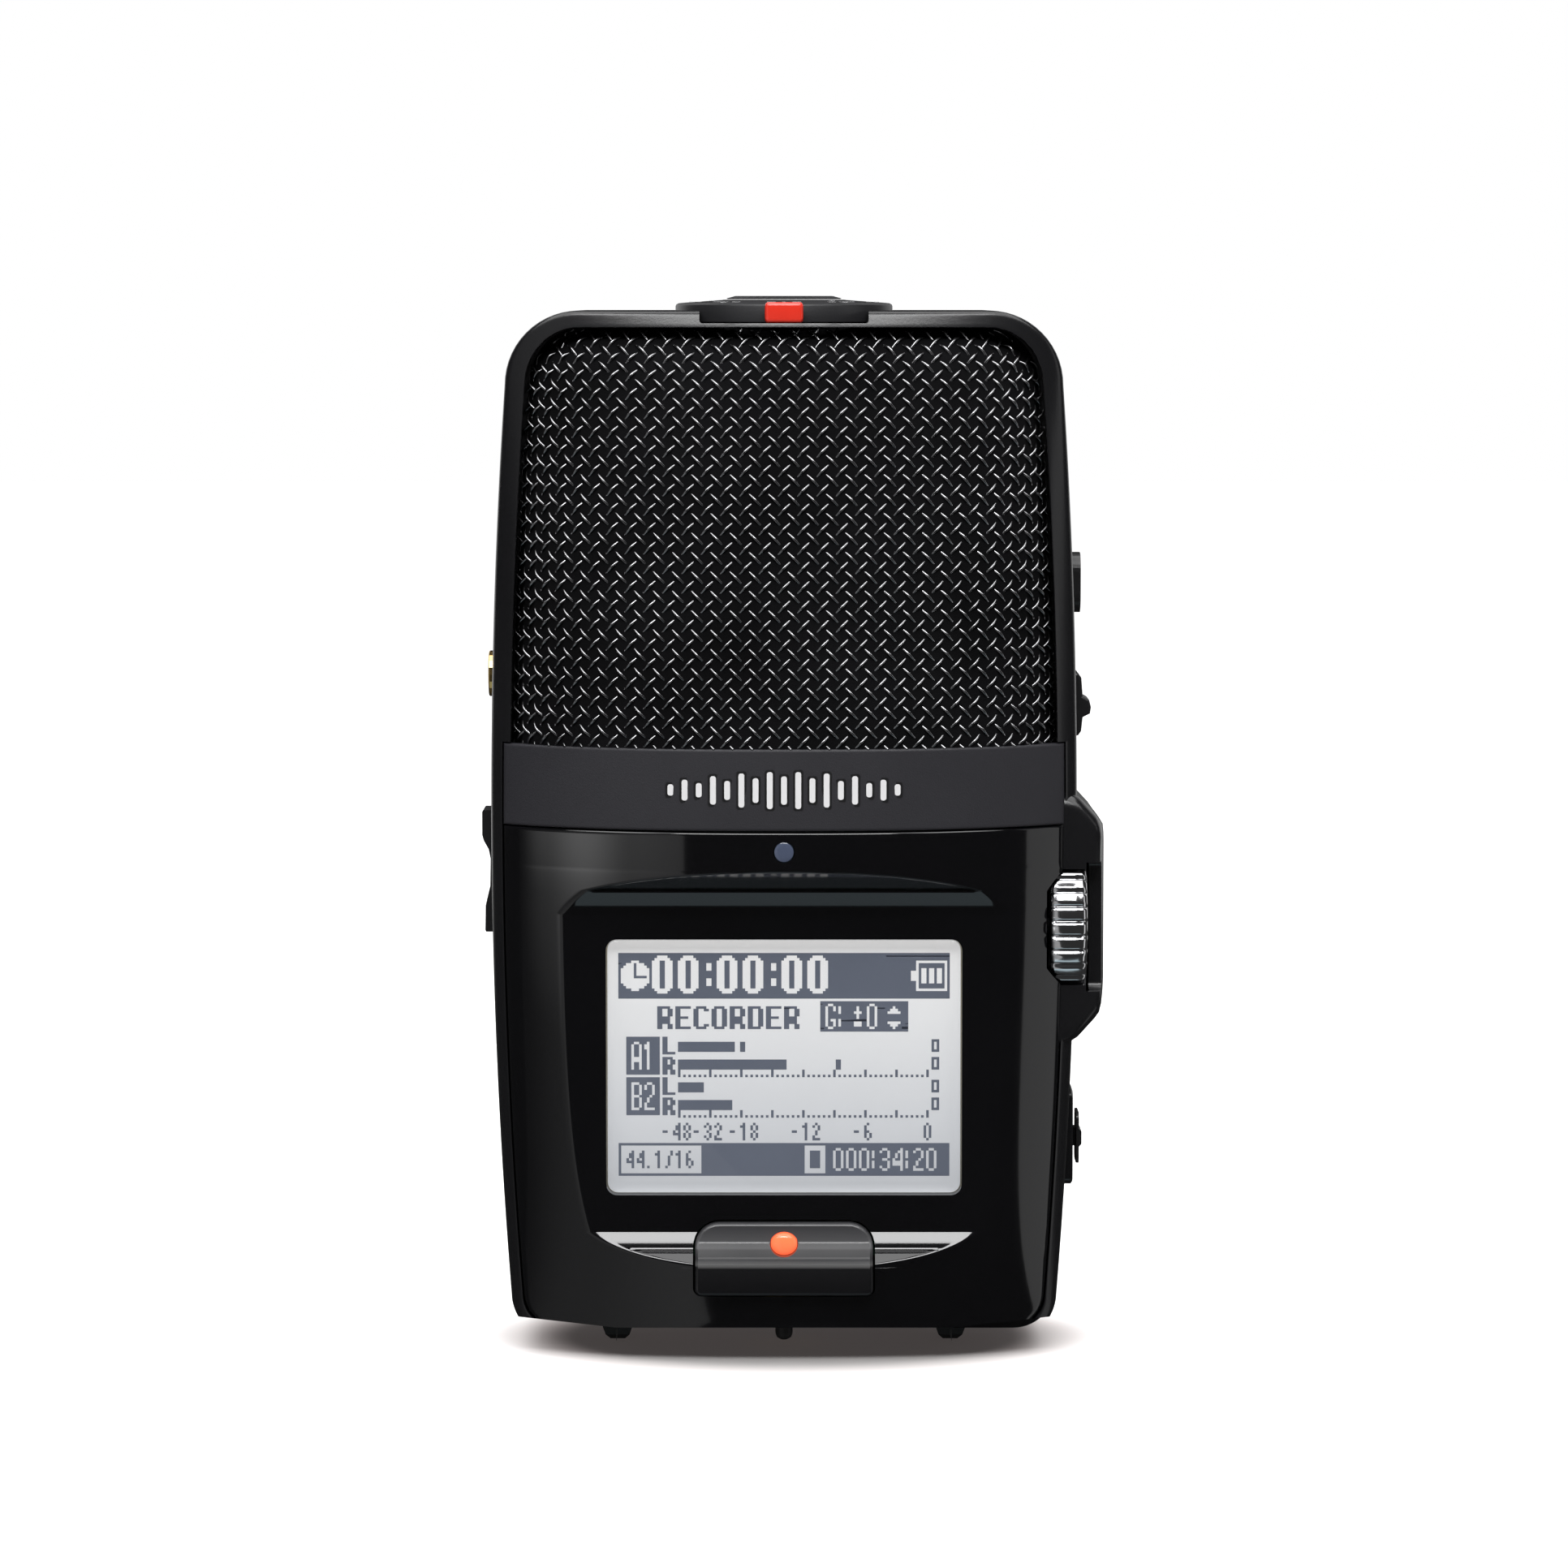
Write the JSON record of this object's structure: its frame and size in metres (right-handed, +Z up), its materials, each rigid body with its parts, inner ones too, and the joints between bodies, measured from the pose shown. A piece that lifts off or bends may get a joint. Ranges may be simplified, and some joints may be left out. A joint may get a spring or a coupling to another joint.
{
  "type": "handheld voice recorder",
  "caption": "Pocket stereo voice recorder with wire-mesh microphone grilles, a recessed backlit display, a top mode dial, a side gain wheel and a large record button.",
  "frame": {"origin": "centre of the bounding box in X and Y, at the undersides of the feet in Z", "axes": "+Z up to the mode dial, the display faces -Y, the gain wheel is on the +X side"},
  "size_m": [0.0676, 0.0428, 0.1138],
  "materials": {
    "frame_black": "satin moulded plastic",
    "gloss_black": "polished",
    "band_grey": "fine grain",
    "grille_wire": "woven wire, black",
    "foam": "open cell foam",
    "clear_window": "clear",
    "display": "backlit",
    "ivory_plastic": "moulded",
    "board": "solder mask",
    "lamp_blue": "translucent",
    "steel": "plain",
    "index_red": "polished",
    "dial_black": "moulded, printed marks",
    "chrome": "plated",
    "smoke_button": "smoked",
    "red_lamp": "glowing",
    "key_black": "moulded",
    "gold": "gold plated",
    "brass": "plain",
    "rubber": "moulded",
    "soft_cover": "moulded",
    "cell_wrap": "printed sleeve"
  },
  "bodies": {
    "case": {"mid_frame": "frame_black", "front_cover": "gloss_black", "rear_cover": "gloss_black", "front_band": "band_grey", "rear_band": "band_grey", "front_grille": "grille_wire", "rear_grille": "grille_wire", "front_foam": "foam", "rear_foam": "foam", "display_window": "clear_window", "lcd_panel": "display", "display_tray": "ivory_plastic", "main_board": "board", "status_lens": "lamp_blue", "record_switch": "steel", "index_tab": "index_red", "rotary_switch": "steel", "wheel_potentiometer": "steel", "menu_switch": "steel", "play_switch": "steel", "power_switch": "steel", "volume_switch": "steel", "headphone_ring": "gold", "headphone_socket": "key_black", "line_in_socket": "key_black", "usb_port": "steel", "card_socket": "steel", "memory_card": "key_black", "battery_left": "cell_wrap", "battery_right": "cell_wrap", "contact_spring_left": "steel", "contact_spring_right": "steel", "contact_bridge": "steel", "speaker": "steel", "tripod_insert": "brass", "foot_left": "rubber", "foot_right": "rubber", "bottom_stub": "rubber", "case_screw_1": "steel", "case_screw_2": "steel", "case_screw_3": "steel", "case_screw_4": "steel", "mic_front_left": "brass", "mic_front_right": "brass", "mic_rear_left": "brass", "mic_rear_right": "brass", "mic_centre": "brass", "mic_bracket": "ivory_plastic"},
    "mode_dial": {"mode_dial": "dial_black", "mode_knob": "dial_black"},
    "gain_wheel": {"gain_wheel": "chrome"},
    "record_key": {"record_button": "smoke_button", "record_lamp": "red_lamp"},
    "menu_key": {"menu_button": "key_black"},
    "play_key": {"play_carrier": "key_black"},
    "play_lever": {"play_lever": "key_black"},
    "power_slider": {"power_slider": "key_black"},
    "volume_rocker": {"volume_rocker": "key_black"},
    "battery_door": {"battery_door": "gloss_black"},
    "card_cover": {"card_cover": "soft_cover"}
  },
  "joints": [
    {"name": "mode_dial_turn", "type": "hinge", "parent": "case", "child": "mode_dial", "pos_m": [-0.001, 0, 0.112], "axis": [0, 0, 1], "range_deg": [-135, 135]},
    {"name": "gain_wheel_turn", "type": "hinge", "parent": "case", "child": "gain_wheel", "pos_m": [0.02945, -0.006, 0.0464], "axis": [1, 0, 0], "range_deg": [-140, 140]},
    {"name": "record_press", "type": "slide", "parent": "case", "child": "record_key", "axis": [0, 1, 0], "range_m": [0, 0.0006], "stiffness_N_per_m": 400},
    {"name": "menu_press", "type": "slide", "parent": "case", "child": "menu_key", "axis": [-1, 0, 0], "range_m": [0, 0.0005], "stiffness_N_per_m": 400},
    {"name": "play_press", "type": "slide", "parent": "case", "child": "play_key", "axis": [-1, 0, 0], "range_m": [0, 0.0005], "stiffness_N_per_m": 400},
    {"name": "play_lever_tilt", "type": "hinge", "parent": "play_key", "child": "play_lever", "pos_m": [0.0285, 0, 0.0697], "axis": [0, 1, 0], "range_deg": [-8, 8], "stiffness_Nm_per_rad": 0.02},
    {"name": "power_slide", "type": "slide", "parent": "case", "child": "power_slider", "axis": [0, 0, 1], "range_m": [-0.002, 0.002]},
    {"name": "volume_rock", "type": "hinge", "parent": "case", "child": "volume_rocker", "pos_m": [-0.0302, 0, 0.05155], "axis": [0, 1, 0], "range_deg": [-3, 3], "stiffness_Nm_per_rad": 0.05},
    {"name": "battery_door_turn", "type": "hinge", "parent": "case", "child": "battery_door", "pos_m": [-0.001, 0.01885, 0.0078], "axis": [-1, 0, 0], "range_deg": [0, 95]},
    {"name": "card_cover_turn", "type": "hinge", "parent": "case", "child": "card_cover", "pos_m": [0.0276, 0, 0.0046], "axis": [0, 1, 0], "range_deg": [0, 85]}
  ]
}
